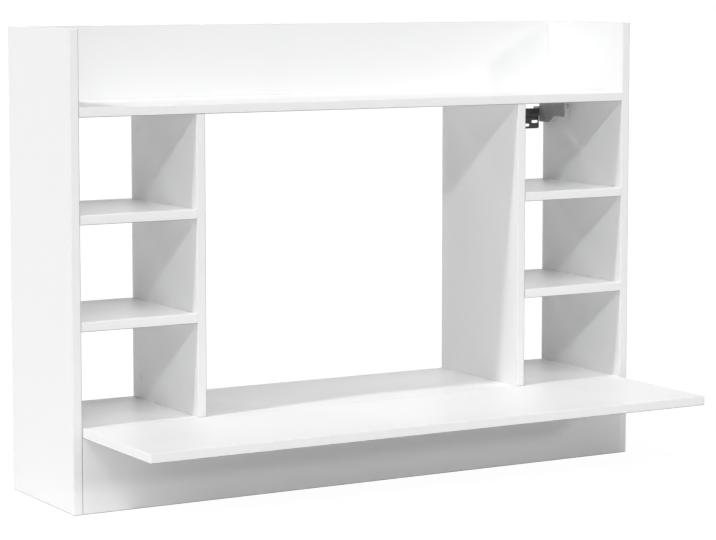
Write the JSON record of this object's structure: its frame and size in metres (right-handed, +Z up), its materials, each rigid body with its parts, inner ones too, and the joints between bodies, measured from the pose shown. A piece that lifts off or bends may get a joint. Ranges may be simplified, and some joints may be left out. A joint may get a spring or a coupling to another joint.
{
  "type": "fold down wall desk",
  "caption": "Wall-hung desk with open cubbies either side of a middle bay, a rimmed top shelf and a leaf that folds up; it hangs on adjustable hooked hangers over slotted wall plates.",
  "frame": {"origin": "on the wall, midway between the two wall plates, at the height of their upper screw slots", "axes": "+X to the right as seen from the room, +Y towards the wall, +Z up"},
  "size_m": [1.05, 0.48, 0.75],
  "materials": {
    "white_melamine": "melamine-faced chipboard, satin",
    "zinc_steel": "zinc plated sheet",
    "galvanised_steel": "dull galvanised sheet",
    "screw_steel": "zinc plated",
    "cast_zinc": "die-cast",
    "beech": "turned",
    "white_plastic": "satin",
    "hinge_brass": "satin"
  },
  "bodies": {
    "wall_plates": {"wall_plate_left": "galvanised_steel", "wall_plate_right": "galvanised_steel"},
    "hooks": {"hanger_hook_left": "zinc_steel", "hanger_hook_right": "zinc_steel"},
    "carriages": {"hanger_carriage_left": "zinc_steel", "hanger_carriage_right": "zinc_steel", "height_screws": "screw_steel"},
    "cabinet": {"cam_bolts": "screw_steel", "cam_cover_caps": "white_plastic", "cam_locks": "cast_zinc", "casing_screws": "screw_steel", "cubby_shelf_lower_left": "white_melamine", "cubby_shelf_lower_right": "white_melamine", "cubby_shelf_upper_left": "white_melamine", "cubby_shelf_upper_right": "white_melamine", "depth_screws": "screw_steel", "desk_board": "white_melamine", "desk_hinge_barrels": "hinge_brass", "dowels": "beech", "front_fascia": "white_melamine", "hanger_casing_left": "zinc_steel", "hanger_casing_right": "zinc_steel", "partition_left": "white_melamine", "partition_right": "white_melamine", "side_panel_left": "white_melamine", "side_panel_right": "white_melamine", "top_shelf": "white_melamine", "upper_back_rail": "white_melamine"},
    "leaf": {"drop_leaf": "white_melamine", "leaf_hinge_barrels": "hinge_brass"},
    "links": {"hinge_links": "hinge_brass"}
  },
  "joints": [
    {"name": "lift_off", "type": "slide", "parent": "wall_plates", "child": "hooks", "axis": [0, 0, 1], "range_m": [0, 0.012]},
    {"name": "height_adjust", "type": "slide", "parent": "hooks", "child": "carriages", "axis": [0, 0, 1], "range_m": [-0.005, 0.005]},
    {"name": "depth_adjust", "type": "slide", "parent": "carriages", "child": "cabinet", "axis": [0, -1, 0], "range_m": [0, 0.008]},
    {"name": "leaf_fold", "type": "hinge", "parent": "cabinet", "child": "leaf", "pos_m": [0, -0.24025, -0.4333], "axis": [-1, 0, 0], "range_deg": [0, 90]},
    {"name": "links_turn", "type": "hinge", "parent": "cabinet", "child": "links", "pos_m": [0, -0.24025, -0.4333], "axis": [-1, 0, 0], "range_deg": [0, 45]}
  ],
  "couplings": [
    {"joint": "links_turn", "follows": "leaf_fold", "ratio": 0.5}
  ]
}
